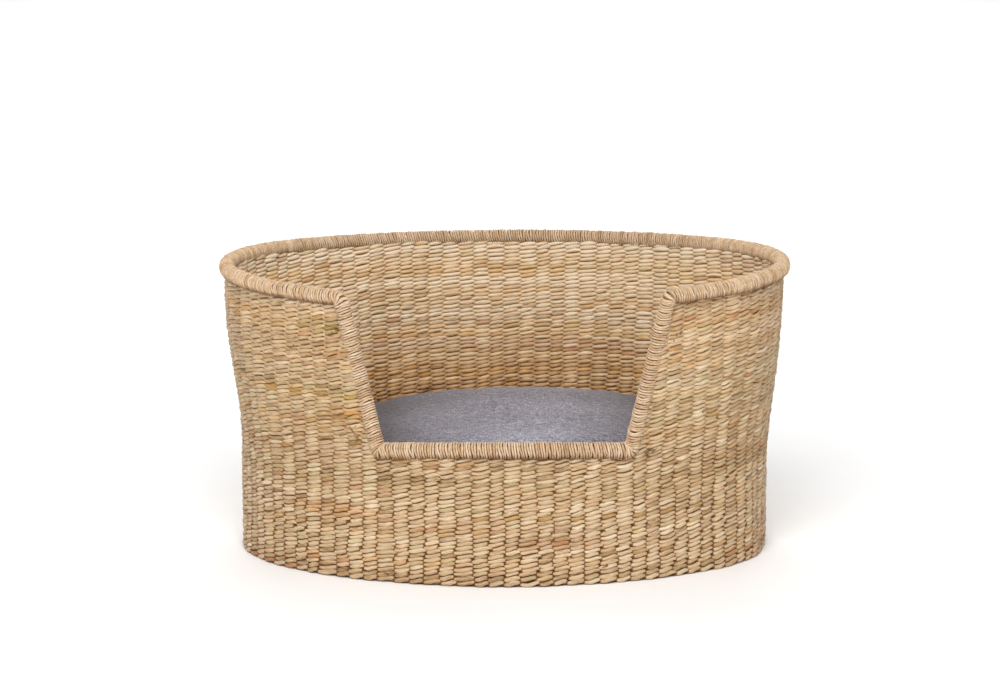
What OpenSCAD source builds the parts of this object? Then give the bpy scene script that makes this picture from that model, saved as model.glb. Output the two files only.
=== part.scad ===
// Oval wicker pet bed: a twined basket with a cut-down entry at the front, a corded rim, a woven
// floor and a loose boxed cushion whose cover closes with a zip.
// X runs left to right, the entry faces -Y, Z is up and the basket stands on z = 0.

/* [Plan] */
// Width of the wall above the foot
wall_width = 574; // [560:2:600]
// Depth of the wall above the foot, front to back
wall_depth = 404; // [390:2:414]

/* [Wall] */
// Height of the rim's centre line
rim_height = 305; // [270:1:340]
// Height at which the wall begins to flare
flare_start = 100; // [60:5:130]
// Height at which the wall has reached its full width
flare_end = 280; // [230:5:295]
// How far the wall leans out between those heights
flare = 16; // [0:0.5:24]
// Thickness of the layer of strands on each face of the wall
strand_layer = 3.2; // [2.4:0.1:3.4]
// Thickness of the layer between them that holds the stakes
stake_layer = 3.6; // [3:0.1:5]
// Radius of the thick course at the foot
foot_radius = 6.2; // [5.5:0.1:8]

/* [Entry] */
// Half the width of the entry at the rim, to the middle of the post
entry_top = 170; // [150:1:180]
// Half the width of the entry at the sill, to the middle of the post
entry_bottom = 132; // [100:1:140]
// Height of the sill's centre line
sill_height = 145; // [110:1:170]

/* [Rim] */
// Thickness of the square steel rod inside the rim
hoop_size = 3.6; // [2:0.1:4]
// Radius of the bundle of stake ends laid round the hoop
bundle_radius = 5.4; // [4.5:0.1:6]
// Outer radius of the cord binding along the back and sides
rim_radius = 8.6; // [7.5:0.1:10]
// Outer radius of the cord binding on the two posts
post_radius = 8.4; // [7.5:0.1:10]
// Outer radius of the cord binding on the sill
sill_radius = 9.2; // [7.5:0.1:10]

/* [Stakes] */
// Number of stakes round each tight end
end_stakes = 17; // [9:2:25]
// Number of stakes along the front and along the back
side_stakes = 28; // [16:2:40]
// Width of one stake along the wall
stake_width = 3.6; // [2:0.1:5]

/* [Floor] */
// Thickness of each of the floor's two layers of strands
floor_layer = 3; // [2:0.1:4]
// Radius of the rods that cross in the floor
rod_radius = 1.5; // [1:0.1:2]
// Number of rods that run from end to end
long_rods = 7; // [3:2:11]
// Number of rods that run from front to back
cross_rods = 17; // [9:2:25]

/* [Cushion] */
// Height of the cushion's flat top
cushion_top = 131; // [90:1:140]
// Radius of the cushion's upper edge
upper_edge = 26; // [12:1:30]
// Radius of the cushion's lower edge, where the zip runs
lower_edge = 44; // [42:1:46]
// Gap between the cushion and the wall
cushion_gap = 3.3; // [2:0.1:6]
// Thickness of the cover's cloth
cloth = 1.2; // [0.8:0.1:2]

/* [Zip] */
// Half of the angle that the zip covers, about the centre of the back curve
zip_half_angle = 26; // [15:1:30]
// Width of each zip tape
tape_width = 9; // [6:0.5:12]
// Length of the pull tab below its pin
pull_length = 8; // [6:0.5:8]

/* [Hidden] */
$fn = 64;

// The oval is four arcs that meet smoothly, two tight ends and two long flat sides, with their
// centres on the corners of 3-4-5 triangles
plan_unit = (wall_width - wall_depth) / 4;
half_width = wall_width / 2;
half_depth = wall_depth / 2;
end_x = 3 * plan_unit;
end_radius = half_width - end_x;
side_y = 4 * plan_unit;
side_radius = half_depth + side_y;
end_angle = atan2(4, 3);
side_angle = atan2(3, 4);
seam = 0.02;

// The four directions that the arcs face, as angles about Z
right = 0;
back = 90;
left = 180;
front = -90;

// Offsets are measured outwards from the wall's outer face at the foot
fit = 0.3;
wall_thickness = 2 * strand_layer + stake_layer;
middle_offset = -wall_thickness / 2;
inner_offset = -wall_thickness;
inner_layer = inner_offset + strand_layer;
rim_offset = flare + inner_offset + rim_radius - 1;
foot_offset = middle_offset + 0.5;
foot_middle = foot_radius - 0.6;
wall_foot = foot_middle + foot_radius + fit;
foot_hoop_size = 3.2;
foot_bore = 2.6;
level_step = 22.5;
stake_top = rim_height - rim_radius - 1;

// The rim's corners are a little fuller than the runs that meet in them
corner_swell = 0.3;
seat = 0.1;
rim_bore = bundle_radius + fit;
bundle_bore = hoop_size * 0.75 + 0.1;
corner_reach = 8;
corner_turn = 0.8;

// How far the wall has leaned out at a height
function lean(z) = let (t = min(1, max(0, (z - flare_start) / (flare_end - flare_start))))
    flare * t * t * (3 - 2 * t);
sill_offset = middle_offset + lean(sill_height) + 1.5;
sill_angle = asin(entry_bottom / (side_radius + sill_offset));
rim_front_angle = asin(entry_top / (side_radius + rim_offset));
post_slope = (entry_top - entry_bottom) / (rim_height - sill_height);
post_room = (sill_radius + corner_swell + fit) * sqrt(1 + post_slope * post_slope);

// The plan is set back so that the whole basket is centred on the origin
back_reach = half_depth + rim_offset + rim_radius;
front_reach = half_depth + sill_offset + sill_radius;
plan_y = (front_reach - back_reach) / 2;

// Heights in the floor, from the underside up
floor_bottom = 2.5;
long_rod_z = floor_bottom + floor_layer + rod_radius + 0.2;
cross_rod_z = long_rod_z + 2 * rod_radius + 0.2;
floor_upper_z = cross_rod_z + rod_radius + 0.2;
floor_top = floor_upper_z + floor_layer;
floor_offset = foot_offset - foot_radius - fit;
rod_reach = floor_offset - 2;

// The cushion, and the line of the zip on its rounded lower edge
cushion_offset = inner_offset - cushion_gap;
cushion_bottom = floor_top + fit;
upper_seam = cushion_top - upper_edge;
lower_seam = cushion_bottom + lower_edge;
zip_slope = 40;
zip_offset = cushion_offset - lower_edge;
coil_radius = 1.6;
tape_lift = 0.5;
tape_thickness = 0.6;
slider_angle = zip_half_angle - 2;
slider_length = 9;
slider_half = 4.5;
slider_shell = 1;
slider_base = 2 * (coil_radius + fit);
flange_foot = tape_lift + tape_thickness + 0.2;
pull_width = 5;
pull_thickness = 1.2;
pin_radius = 0.6;
pin_lift = slider_base + 2.8;
yoke_gap = pull_width + 0.6;
yoke_wall = 1.2;
yoke_half = 1.6;
stop_length = 3;
stop_half = 2.6;

// ---------------------------------------------------------------- tools

// Puts a shape drawn about the oval's centre into the basket's own frame
module in_frame() {
    translate([0, plan_y, 0]) children();
}

// Sweeps a profile of offset against height round part of one arc, between two angles
module sweep(facing, from, to) {
    is_end = facing == right || facing == left;
    centre = is_end ? end_x : -side_y;
    radius = is_end ? end_radius : side_radius;
    rotate([0, 0, facing]) translate([centre, 0, 0]) rotate([0, 0, from])
        rotate_extrude(angle = to - from) translate([radius, 0]) children();
}

// Sweeps a profile round one whole arc, stopping short of its ends by an angle
module sweep_arc(facing, short = 0) {
    half = (facing == right || facing == left ? end_angle : side_angle) - short;
    sweep(facing, -half, half) children();
}

// Sweeps a profile right round the oval
module sweep_oval() {
    for (facing = [right, back, left, front]) sweep_arc(facing) children();
}

// The oval's outline, with its edge at an offset from the wall's face
module oval(edge) {
    join_x = end_x + (end_radius + edge) * 0.6;
    intersection() {
        translate([0, -side_y]) circle(side_radius + edge, $fn = 180);
        translate([0, side_y]) circle(side_radius + edge, $fn = 180);
        square([2 * join_x, wall_depth + 2 * flare], center = true);
    }
    for (side = [-1, 1]) translate([side * end_x, 0]) circle(end_radius + edge, $fn = 180);
}

// A flat plate of the oval's shape
module oval_plate(edge, low, thickness) {
    translate([0, 0, low]) linear_extrude(thickness) oval(edge);
}

// A square rod bent to the oval's shape, centred on an offset and a height
module oval_rod(offset_out, height, size) {
    translate([0, 0, height - size / 2]) linear_extrude(size) difference() {
        oval(offset_out + size / 2);
        oval(offset_out - size / 2);
    }
}

// A round rod between two points
module rod(from, to, radius) {
    along = to - from;
    length = norm(along);
    translate(from) rotate([0, acos(along.z / length), atan2(along.y, along.x)])
        cylinder(h = length, r = radius);
}

// Where a post starts on the sill and ends at the rim; side is -1 for left and 1 for right
function post_foot(side) = let (r = side_radius + sill_offset)
    [side * entry_bottom, side_y - r * cos(sill_angle), sill_height];
function post_head(side) = let (r = side_radius + rim_offset)
    [side * entry_top, side_y - r * cos(rim_front_angle), rim_height];

// Heights at which a wall profile has a corner, between two levels
function levels(low, high) =
    concat([low], [for (z = [flare_start : level_step : flare_end]) if (z > low && z < high) z], [high]);

// Profile of one layer of the wall
module layer_profile(outer, thickness, low, high) {
    up = levels(low, high);
    count = len(up);
    polygon(concat([for (z = up) [outer + lean(z), z]],
                   [for (i = [count - 1 : -1 : 0]) [outer - thickness + lean(up[i]), up[i]]]));
}

// ---------------------------------------------------------------- rim

// The short stretch of rim from the right end forward to the post's head, and past its seam
module rim_front(radius, past) {
    sweep(front, rim_front_angle, side_angle - seam + past)
        translate([rim_offset, rim_height]) circle(radius);
}

module sill_run(radius) {
    sweep(front, -sill_angle, sill_angle) translate([sill_offset, sill_height]) circle(radius);
}

module rim_corner(side, radius) {
    translate(post_head(side)) sphere(radius + corner_swell);
}

module sill_corner(side, radius) {
    translate(post_foot(side)) sphere(radius + corner_swell);
}

// Draws the right-hand half again, mirrored, as the left-hand half
module both_sides() {
    children();
    mirror([1, 0, 0]) children();
}

// The steel rod: bent round the rim, down both posts and along the sill
module rim_hoop() {
    front_y = side_radius * 2;
    color("dimgray") in_frame() {
        difference() {
            oval_rod(rim_offset, rim_height, hoop_size);
            translate([-entry_top, -front_y, 0]) cube([2 * entry_top, front_y, 2 * rim_height]);
        }
        intersection() {
            oval_rod(sill_offset, sill_height, hoop_size);
            translate([-entry_bottom, -front_y, 0]) cube([2 * entry_bottom, front_y, 2 * rim_height]);
        }
        for (side = [-1, 1]) rod(post_foot(side), post_head(side), hoop_size * 0.6);
    }
}

// The bundle in section, hollow for the steel rod
module bundle_section(offset_out, height) {
    translate([offset_out, height]) difference() {
        circle(bundle_radius);
        circle(bundle_bore);
    }
}

// The stake ends laid along the rim, down both posts and along the sill
module rim_bundle() {
    foot = post_foot(1);
    head = post_head(1);
    step = (head - foot) * corner_reach / norm(head - foot);
    color("tan") in_frame() {
        for (facing = [right, back, left]) sweep_arc(facing, seam) bundle_section(rim_offset, rim_height);
        sweep(front, corner_turn - sill_angle, sill_angle - corner_turn)
            bundle_section(sill_offset, sill_height);
        both_sides() {
            sweep(front, rim_front_angle + corner_turn, side_angle - seam)
                bundle_section(rim_offset, rim_height);
            difference() {
                rod(foot + step, head - step, bundle_radius);
                rod(foot, head, bundle_bore);
            }
        }
    }
}

// The cord binding in section, hollow for the bundle
module binding_section() {
    translate([rim_offset, rim_height]) difference() {
        circle(rim_radius);
        circle(rim_bore);
    }
}

module binding_back() {
    color("burlywood") in_frame() sweep_arc(back, seam) binding_section();
}

module binding_left() {
    color("burlywood") in_frame() sweep_arc(left, seam) binding_section();
}

module binding_right() {
    color("burlywood") in_frame() sweep_arc(right, seam) binding_section();
}

// The binding from the right end forward, and round the corner over the post's head
module binding_front() {
    difference() {
        union() {
            rim_front(rim_radius, 0);
            rim_corner(1, rim_radius);
        }
        rim_front(rim_bore, 1);
        rim_corner(1, rim_bore);
        rod(post_foot(1), post_head(1), rim_bore);
    }
}

module binding_left_front() {
    color("burlywood") in_frame() mirror([1, 0, 0]) binding_front();
}

module binding_right_front() {
    color("burlywood") in_frame() binding_front();
}

// The binding of the right-hand post, between the corners
module binding_post() {
    difference() {
        rod(post_foot(1), post_head(1), post_radius);
        rod(post_foot(1), post_head(1), rim_bore);
        rim_corner(1, rim_radius + seat);
        rim_front(rim_radius + seat, 0);
        sill_corner(1, sill_radius + seat);
        sill_run(sill_radius + seat);
    }
}

module binding_left_post() {
    color("burlywood") in_frame() mirror([1, 0, 0]) binding_post();
}

module binding_right_post() {
    color("burlywood") in_frame() binding_post();
}

module binding_sill() {
    color("burlywood") in_frame() difference() {
        union() {
            sill_run(sill_radius);
            for (side = [-1, 1]) sill_corner(side, sill_radius);
        }
        sill_run(rim_bore);
        for (side = [-1, 1]) {
            sill_corner(side, rim_bore);
            rod(post_foot(side), post_head(side), rim_bore);
        }
    }
}

// ---------------------------------------------------------------- wall

// Half the width that the entry and its posts take out of the wall at a height
function entry_half(z) = entry_bottom + (z - sill_height) * post_slope + post_room;

// The space that the sill, the posts and the entry between them take out of the front
module entry_space() {
    low = sill_height - sill_radius - corner_swell - fit;
    high = rim_height + 20;
    translate([0, -100, 0]) rotate([90, 0, 0]) linear_extrude(side_radius) polygon([
        [-entry_half(low), low], [entry_half(low), low],
        [entry_half(high), high], [-entry_half(high), high]]);
}

// One layer of the wall along one arc, up to the rim
module wall_layer(facing, outer) {
    sweep_arc(facing, seam) difference() {
        layer_profile(outer, strand_layer, wall_foot, rim_height);
        translate([rim_offset, rim_height]) circle(rim_radius + fit);
    }
}

// One layer of the wall along the front, with the entry left out
module front_layer(outer) {
    difference() {
        wall_layer(front, outer);
        entry_space();
    }
}

module front_weave_outer() {
    color("wheat") in_frame() front_layer(0);
}

module front_weave_inner() {
    color("peru") in_frame() front_layer(inner_layer);
}

module left_weave_outer() {
    color("wheat") in_frame() wall_layer(left, 0);
}

module left_weave_inner() {
    color("peru") in_frame() wall_layer(left, inner_layer);
}

module right_weave_outer() {
    color("wheat") in_frame() wall_layer(right, 0);
}

module right_weave_inner() {
    color("peru") in_frame() wall_layer(right, inner_layer);
}

module back_weave_outer() {
    color("wheat") in_frame() wall_layer(back, 0);
}

module back_weave_inner() {
    color("peru") in_frame() wall_layer(back, inner_layer);
}

// ---------------------------------------------------------------- stakes

// One upright stake at an angle on an arc
module stake(facing, angle) {
    is_end = facing == right || facing == left;
    centre = is_end ? end_x : -side_y;
    radius = is_end ? end_radius : side_radius;
    thickness = stake_layer - 0.4;
    rotate([0, 0, facing]) translate([centre, 0, 0]) rotate([0, 0, angle]) translate([radius, 0, 0])
        rotate([90, 0, 0]) linear_extrude(stake_width, center = true)
            layer_profile(middle_offset + thickness / 2, thickness, wall_foot, stake_top);
}

// A number of stakes spread evenly over an arc
module stakes(facing, count, half) {
    for (i = [0 : count - 1]) stake(facing, -half + (i + 0.5) * 2 * half / count);
}

module front_stakes() {
    color("sienna") in_frame() difference() {
        stakes(front, side_stakes, side_angle);
        entry_space();
    }
}

module left_stakes() {
    color("sienna") in_frame() stakes(left, end_stakes, end_angle);
}

module right_stakes() {
    color("sienna") in_frame() stakes(right, end_stakes, end_angle);
}

module back_stakes() {
    color("sienna") in_frame() stakes(back, side_stakes, side_angle);
}

// ---------------------------------------------------------------- foot and floor

module foot_course() {
    color("tan") in_frame() sweep_oval() difference() {
        translate([foot_offset, foot_middle]) circle(foot_radius);
        translate([foot_offset, foot_middle]) circle(foot_bore);
        translate([foot_offset - foot_radius, -foot_radius]) square([2 * foot_radius, foot_radius]);
    }
}

module foot_hoop() {
    color("dimgray") in_frame() oval_rod(foot_offset, foot_middle, foot_hoop_size);
}

module floor_weave_under() {
    color("tan") in_frame() oval_plate(floor_offset, floor_bottom, floor_layer);
}

module floor_weave_upper() {
    color("tan") in_frame() oval_plate(floor_offset, floor_upper_z, floor_layer);
}

module floor_long_rods() {
    spacing = (half_depth + rod_reach) * 1.3 / (long_rods - 1);
    color("sienna") in_frame() intersection() {
        oval_plate(rod_reach, long_rod_z - rod_radius - 1, 2 * rod_radius + 2);
        for (i = [0 : long_rods - 1]) translate([0, (i - (long_rods - 1) / 2) * spacing, long_rod_z])
            rotate([0, 90, 0]) cylinder(h = wall_width, r = rod_radius, center = true);
    }
}

module floor_cross_rods() {
    spacing = (half_width + rod_reach) * 1.7 / (cross_rods - 1);
    color("sienna") in_frame() intersection() {
        oval_plate(rod_reach, cross_rod_z - rod_radius - 1, 2 * rod_radius + 2);
        for (i = [0 : cross_rods - 1]) translate([(i - (cross_rods - 1) / 2) * spacing, 0, cross_rod_z])
            rotate([90, 0, 0]) cylinder(h = wall_depth, r = rod_radius, center = true);
    }
}

// ---------------------------------------------------------------- cushion

// The soft boxed shape with rounded edges, with its skin let in by an amount
module cushion_body(let_in) {
    hull() {
        sweep_oval() translate([cushion_offset - upper_edge, upper_seam])
            circle(upper_edge - let_in, $fn = 32);
        sweep_oval() translate([cushion_offset - lower_edge, lower_seam])
            circle(lower_edge - let_in, $fn = 48);
    }
}

module cushion_filling() {
    color("ivory") in_frame() cushion_body(cloth + 0.2);
}

// The part of the cover's cloth between two heights
module cover_slice(low, high) {
    in_frame() difference() {
        intersection() {
            cushion_body(0);
            translate([-half_width, -half_width, low]) cube([2 * half_width, 2 * half_width, high - low]);
        }
        cushion_body(cloth);
    }
}

module cover_top() {
    color("slategray") cover_slice(upper_seam, cushion_top + 1);
}

module cover_band() {
    color("gray") cover_slice(lower_seam, upper_seam);
}

module cover_bottom() {
    color("dimgray") cover_slice(cushion_bottom - 1, lower_seam);
}

// ---------------------------------------------------------------- zip

// Draws in a section whose x runs out of the cushion's lower edge and whose y runs along the cloth
module zip_section() {
    translate([zip_offset, lower_seam]) rotate(-zip_slope) translate([lower_edge, 0]) children();
}

module zip_sweep() {
    in_frame() sweep(back, -zip_half_angle, zip_half_angle) zip_section() children();
}

module zip_tape_upper() {
    color("slategray")
        zip_sweep()
            translate([tape_lift, coil_radius + fit])
                square([tape_thickness, tape_width]);
}

module zip_tape_lower() {
    color("slategray") zip_sweep() translate([tape_lift, -coil_radius - fit - tape_width])
        square([tape_thickness, tape_width]);
}

module zip_coil() {
    color("silver") zip_sweep() translate([coil_radius + fit, 0]) circle(coil_radius);
}

// Places a solid on the zip at an angle round the back; its x runs out of the cloth, its z along
// the cloth and its y along the zip
module on_zip(angle) {
    in_frame() rotate([0, 0, back]) translate([-side_y, 0, 0]) rotate([0, 0, angle])
        translate([side_radius + zip_offset, 0, lower_seam]) rotate([0, zip_slope, 0])
            translate([lower_edge, 0, 0]) children();
}

module zip_stops() {
    color("silver") for (end = [-1, 1]) on_zip(end * zip_half_angle)
        translate([fit, end > 0 ? fit : -stop_length - fit, -stop_half])
            cube([2 * coil_radius + 0.6, stop_length, 2 * stop_half]);
}

// The slider's plate over the coil, its two flanges and the yoke that carries the pull
module zip_slider() {
    color("darkgray") on_zip(slider_angle) {
        translate([slider_base, -slider_length / 2, -slider_half])
            cube([slider_shell, slider_length, 2 * slider_half]);
        for (low = [-slider_half, slider_half - slider_shell])
            translate([flange_foot, -slider_length / 2, low])
                cube([slider_base + slider_shell - flange_foot, slider_length, slider_shell]);
        for (low = [-yoke_gap / 2 - yoke_wall, yoke_gap / 2]) difference() {
            translate([slider_base, low, -yoke_half])
                cube([pin_lift + yoke_half - slider_base, yoke_wall, 2 * yoke_half]);
            translate([pin_lift, 0, 0]) rotate([90, 0, 0])
                cylinder(h = 2 * yoke_gap, r = pin_radius + 0.05, center = true);
        }
    }
}

// The pull tab with its cross pin, hanging straight down
module zip_pull() {
    color("silver") on_zip(slider_angle) translate([pin_lift, 0, 0]) rotate([0, -zip_slope, 0]) {
        rotate([90, 0, 0]) cylinder(h = yoke_gap + 2 * yoke_wall, r = pin_radius, center = true);
        difference() {
            translate([-pull_thickness / 2, -pull_width / 2, -pull_length])
                cube([pull_thickness, pull_width, pull_length + pin_radius]);
            translate([0, 0, 2.6 - pull_length]) rotate([0, 90, 0])
                cylinder(h = 2 * pull_thickness, r = 1.2, center = true);
        }
    }
}

front_weave_outer();
front_weave_inner();
left_weave_outer();
left_weave_inner();
right_weave_outer();
right_weave_inner();
back_weave_outer();
back_weave_inner();
front_stakes();
left_stakes();
right_stakes();
back_stakes();
foot_course();
foot_hoop();
floor_weave_under();
floor_weave_upper();
floor_long_rods();
floor_cross_rods();
rim_hoop();
rim_bundle();
binding_back();
binding_left();
binding_right();
binding_left_front();
binding_right_front();
binding_left_post();
binding_right_post();
binding_sill();
cushion_filling();
cover_top();
cover_band();
cover_bottom();
zip_tape_upper();
zip_tape_lower();
zip_coil();
zip_stops();
zip_slider();
zip_pull();
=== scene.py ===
"""Oval wicker pet bed: twined seagrass, cord binding and a grey cushion, built round the CAD frame."""

import math

import bmesh
import bpy
import numpy as np
from mathutils.bvhtree import BVHTree
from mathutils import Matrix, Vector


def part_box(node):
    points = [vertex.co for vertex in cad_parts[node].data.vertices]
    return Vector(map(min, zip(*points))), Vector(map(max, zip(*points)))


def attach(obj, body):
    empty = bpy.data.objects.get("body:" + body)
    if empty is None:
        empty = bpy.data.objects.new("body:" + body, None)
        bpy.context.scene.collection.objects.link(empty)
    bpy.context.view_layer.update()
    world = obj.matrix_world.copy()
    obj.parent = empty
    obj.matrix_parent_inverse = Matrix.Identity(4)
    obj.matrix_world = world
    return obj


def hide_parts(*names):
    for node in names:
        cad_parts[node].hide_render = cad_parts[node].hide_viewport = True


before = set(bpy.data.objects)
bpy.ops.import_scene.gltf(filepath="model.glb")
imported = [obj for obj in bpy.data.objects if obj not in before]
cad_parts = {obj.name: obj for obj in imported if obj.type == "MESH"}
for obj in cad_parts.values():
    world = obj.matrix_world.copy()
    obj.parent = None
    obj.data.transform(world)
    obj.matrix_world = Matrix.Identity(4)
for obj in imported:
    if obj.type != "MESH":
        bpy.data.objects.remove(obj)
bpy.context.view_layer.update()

# ---------------------------------------------------------------- sizes, in metres

# The plan is the CAD's oval: four arcs whose centres lie on 3-4-5 triangles
FLOOR_INSET = 0.011
SIDE_STAKES = 28
END_STAKES = 17
STAKES = 2 * (SIDE_STAKES + END_STAKES)

# The wall, as offsets out from its outer face at the foot
MIDDLE = -0.005
FLARE = 0.016
FLARE_START = 0.100
FLARE_END = 0.280
COURSES = 64
BANDS = 13

# The strands: how far a stitch stands from the wall's middle, how far it slants and its half sizes
# at a crossing, with what a stitch's middle adds to them; then the packing strand's half sizes
STITCH_REACH = 0.0033
SLANT = 0.00135
HIGH, HIGH_ADDED = 0.00180, 0.00075
WIDE, WIDE_ADDED = 0.00430, -0.00250
PACK_WIDE, PACK_HIGH = 0.0014, 0.0026

# The foot's two courses, and how much thicker they are
FOOT_LEVELS = (0.0041, 0.0090)
FOOT_SIZE = 1.08

# The rim and the entry; the wall's last course ends a little way inside the binding
RIM_OFFSET = 0.0136
SILL_OFFSET = -0.0010
ENTRY_TOP = 0.170
ENTRY_BOTTOM = 0.132
SILL_HEIGHT = 0.145
RIM_RADIUS = 0.0086
POST_RADIUS = 0.0084
SILL_RADIUS = 0.0094
BUNDLE_RADIUS = 0.0063
ROD_RADIUS = 0.0018
CORD = 0.00116
WRAP_PITCH = 0.0027
WALL_IN_RIM = 0.0048
CLEARANCE = 0.0003

# Loose tips on the front: x, height, how many and how far they spread
LOOSE_ENDS = [(-0.158, 0.158, 7, 0.007), (-0.176, 0.268, 5, 0.006), (0.150, 0.140, 8, 0.005),
              (0.178, 0.262, 3, 0.006), (0.110, 0.020, 2, 0.002), (-0.232, 0.250, 3, 0.006),
              (0.225, 0.175, 3, 0.010), (-0.120, 0.012, 2, 0.004)]

RIM_FIBRES = 90

# Tinted patches: stakes from the front's middle, height, their half sizes, then green, gold, rust
PATCHES = [(-10.0, 0.272, 3.5, 0.012, 0.9, 0.0, 0.0), (-9.0, 0.205, 3.0, 0.008, 0.7, 0.0, 0.0),
           (-9.0, 0.245, 2.5, 0.006, 0.0, 0.4, 0.2), (-8.5, 0.180, 3.0, 0.008, 0.0, 0.8, 0.1),
           (10.5, 0.255, 3.0, 0.012, 0.1, 0.8, 0.0), (11.0, 0.178, 3.5, 0.004, 0.0, 0.5, 0.4),
           (9.0, 0.150, 2.5, 0.006, 0.0, 0.5, 0.2), (3.0, 0.045, 2.5, 0.004, 0.0, 0.4, 0.5),
           (-2.0, 0.060, 3.0, 0.004, 0.0, 0.4, 0.2), (-11.0, 0.075, 3.0, 0.008, 0.0, 0.6, 0.1)]

# The floor's rows of strands, and the rods that they pass
FLOOR_PITCH = 0.0052
FLOOR_WIDE, FLOOR_HIGH = 0.0025, 0.00115
ROD_WIDTH = 0.003
ROD_GAPS = 16

# The cushion: its side's offset, the radii of its edges, how coarse its skin is and how long it
# swells; then its corded seams and how far they stand out from the skin
CUSHION_OFFSET = -0.0133
UPPER_EDGE = 0.026
LOWER_EDGE = 0.044
VOXEL = 0.005
CLOTH_STEPS = 20
SEAM_RADIUS = 0.0011
SEAM_OUT = 0.0008

# The camera: its lens in mm, how far before the bed and how high it stands, and how far it looks down
LENS = 127.9
CAMERA_AWAY = 3.8
CAMERA_HEIGHT = 0.9445
CAMERA_TILT = 0.188

# The studio floor: how far it reaches to the sides and the front, and to the back
STAGE_SIDE = 6
STAGE_BACK = 9

floor_low, floor_high = (np.array(v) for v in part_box("floor_weave_under"))
upper_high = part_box("floor_weave_upper")[1]
cover_low, cover_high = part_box("cover_top")
band_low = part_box("cover_band")[0]
foot_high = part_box("foot_course")[1]
rim_low, rim_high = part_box("binding_back")

half_width = (floor_high[0] - floor_low[0]) / 2 + FLOOR_INSET
half_depth = (floor_high[1] - floor_low[1]) / 2 + FLOOR_INSET
plan_y = (floor_high[1] + floor_low[1]) / 2
unit = (half_width - half_depth) / 2
rim_height = (rim_low[2] + rim_high[2]) / 2
wall_low = foot_high[2] + CLEARANCE
course_pitch = (rim_low[2] + WALL_IN_RIM - wall_low) / COURSES
cushion_bottom = upper_high[2] + CLEARANCE
cushion_top = cover_high[2]
upper_seam = cover_low[2]
lower_seam = band_low[2]

end_angle = math.atan2(4, 3)
side_angle = math.atan2(3, 4)
end_radius = half_width - 3 * unit
side_radius = half_depth + 4 * unit

# Each arc's first stake number, stakes, facing, distance of its centre, radius and half angle
ARCS = np.array([
    [0, END_STAKES, 0, 3 * unit, end_radius, end_angle],
    [END_STAKES, SIDE_STAKES, math.pi / 2, -4 * unit, side_radius, side_angle],
    [END_STAKES + SIDE_STAKES, END_STAKES, math.pi, 3 * unit, end_radius, end_angle],
    [STAKES - SIDE_STAKES, SIDE_STAKES, -math.pi / 2, -4 * unit, side_radius, side_angle],
])
# Each stake's column: how far it bulges out, and with it a little painted highlight or shade in the wall's
# tone.
ribs = np.random.default_rng(3).normal(0, 1, STAKES)
FRONT_MIDDLE = STAKES - SIDE_STAKES / 2
BACK_MIDDLE = END_STAKES + SIDE_STAKES / 2


def oval(stake, out):
    """Points on the oval at stake numbers, an offset out from the wall's foot, and the outward way."""
    stake = np.mod(stake, STAKES)
    arc = ARCS[np.searchsorted(ARCS[:, 0], stake, side="right") - 1]
    start, count, facing, reach, radius, half = arc.T
    angle = facing - half + 2 * half * (stake - start) / count
    away = np.stack([np.cos(angle), np.sin(angle)], axis=1)
    centre = np.stack([reach * np.cos(facing), reach * np.sin(facing) + plan_y], axis=1)
    return centre + (radius + out)[:, None] * away, away


def level_rows(away):
    """Outward ways on the plan, as vectors in space."""
    return np.column_stack([away, np.zeros(len(away))])


def upright(count):
    return np.tile([0.0, 0.0, 1.0], (count, 1))


def lean(z):
    """How far the wall has leaned out at a height."""
    t = np.clip((z - FLARE_START) / (FLARE_END - FLARE_START), 0, 1)
    return FLARE * t * t * (3 - 2 * t)


def settle(points):
    """Lets the basket be a little uneven: high shoulders, a front that dips and a flattened foot."""
    x, y, z = points[..., 0], points[..., 1], points[..., 2]
    high = np.clip(z / rim_height, 0, 1.1) ** 2
    shoulders = 0.0045 * (x / 0.3) ** 2
    dip = 0.0035 * np.clip(-y / 0.2, 0, 1) ** 2
    tilt = 0.0012 * x / 0.3
    points[..., 2] = np.maximum(z + (shoulders - dip + tilt) * high, 0.0001)
    return points


def stake_at(x, out):
    """How far round from the front's middle, in stakes, the front wall reaches x."""
    angle = np.arcsin(x / (side_radius + out))
    return angle / (2 * side_angle) * SIDE_STAKES


def post_x(z):
    """Half the width of the entry at a height, to the middle of the post."""
    return ENTRY_BOTTOM + (ENTRY_TOP - ENTRY_BOTTOM) * (z - SILL_HEIGHT) / (rim_height - SILL_HEIGHT)


# ---------------------------------------------------------------- camera, light and floor

def add_camera():
    data = bpy.data.cameras.new("camera")
    data.lens = LENS
    data.sensor_width = 36
    data.clip_end = 20
    camera = bpy.data.objects.new("camera", data)
    camera.location = (-0.005, plan_y - CAMERA_AWAY, CAMERA_HEIGHT)
    camera.rotation_euler = (math.radians(90) - CAMERA_TILT, 0, 0)
    bpy.context.scene.collection.objects.link(camera)
    bpy.context.scene.camera = camera


def add_area(name, place, aim, size, power):
    data = bpy.data.lights.new(name, "AREA")
    data.shape = "DISK"
    data.size = size
    data.energy = power
    light = bpy.data.objects.new(name, data)
    way = np.array(aim) - np.array(place)
    light.location = place
    light.rotation_euler = (math.acos(-way[2] / np.linalg.norm(way)), 0,
                            math.atan2(way[1], way[0]) - math.pi / 2)
    bpy.context.scene.collection.objects.link(light)


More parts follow.
